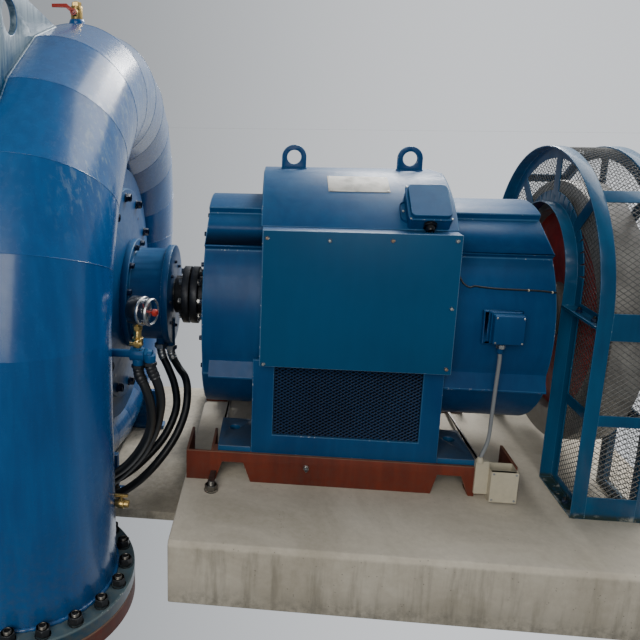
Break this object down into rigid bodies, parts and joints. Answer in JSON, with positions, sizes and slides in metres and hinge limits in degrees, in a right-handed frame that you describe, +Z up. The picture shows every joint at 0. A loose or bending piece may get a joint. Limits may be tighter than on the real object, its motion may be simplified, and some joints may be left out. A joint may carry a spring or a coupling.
{
  "type": "hydroelectric generator set",
  "caption": "Horizontal hydroelectric set: scroll-cased turbine with draft elbow, shaft coupling, box-hooded round generator and mesh-guarded flywheel on a plinth.",
  "frame": {"origin": "on the ground, below the shaft axis at the middle of the generator pedestal", "axes": "+X along the shaft from turbine to flywheel, +Y away from the inlet pipe, +Z up"},
  "size_m": [3.312, 2.2973, 2.13],
  "materials": {
    "concrete": "rough, damp-stained",
    "red_oxide": "dull primer, dusty",
    "casing_blue": "semi-gloss, soiled",
    "generator_blue": "semi-gloss, scuffed",
    "panel_blue": "semi-gloss",
    "rail_red": "dull primer",
    "guard_teal": "semi-gloss, chipped",
    "guard_mesh_wire": "woven wire",
    "air_mesh_wire": "woven wire, dark",
    "shaft_steel": "turned, oiled",
    "coupling_steel": "turned, dull",
    "flywheel_iron": "turned rim, painted web",
    "brass_fittings": "dull",
    "lever_red": "dipped coating",
    "gauge_steel": "satin",
    "fitting_steel": "dull plated",
    "hose_rubber": "matte",
    "conduit_grey": "dull",
    "box_cream": "satin"
  },
  "bodies": {
    "plant": {"generator_plinth": "concrete", "turbine_plinth": "concrete", "mating_flange": "red_oxide", "inlet_flange": "casing_blue", "inlet_pipe": "casing_blue", "spiral_casing": "casing_blue", "stay_ring": "casing_blue", "head_cover": "casing_blue", "rear_cover": "casing_blue", "draft_elbow": "casing_blue", "casing_feet": "casing_blue", "bearing_housing": "casing_blue", "lifting_lug": "casing_blue", "bleed_valve": "brass_fittings", "pressure_gauge": "gauge_steel", "gauge_cock": "brass_fittings", "pressure_tee": "fitting_steel", "front_hoses": "hose_rubber", "rear_hoses": "hose_rubber", "hose_manifold": "fitting_steel", "drain_tap": "brass_fittings", "stator_frame": "generator_blue", "end_shields": "generator_blue", "top_hood": "generator_blue", "lifting_eyes": "generator_blue", "terminal_box": "generator_blue", "terminal_panel": "panel_blue", "pedestal": "generator_blue", "air_mesh": "air_mesh_wire", "foot_plates": "generator_blue", "base_rails": "rail_red", "end_channels": "rail_red", "hood_junction_box": "generator_blue", "barrel_junction_box": "generator_blue", "sensor_conduit": "conduit_grey", "white_junction_box": "box_cream", "guard_near_frame": "guard_teal", "guard_far_frame": "guard_teal", "guard_ties": "guard_teal", "guard_side_mesh": "guard_mesh_wire", "guard_rim_mesh": "guard_mesh_wire"},
    "rotor": {"drive_shaft": "shaft_steel", "shaft_coupling": "coupling_steel", "flywheel": "flywheel_iron"},
    "bleed_handle": {"bleed_lever": "lever_red"}
  },
  "joints": [
    {"name": "rotor_spin", "type": "hinge", "parent": "plant", "child": "rotor", "pos_m": [0, 0, 0.883], "axis": [1, 0, 0], "continuous": true},
    {"name": "bleed_turn", "type": "hinge", "parent": "plant", "child": "bleed_handle", "pos_m": [-1.134, -0.149, 2.084], "axis": [0, 1, 0], "range_deg": [0, 90]}
  ]
}
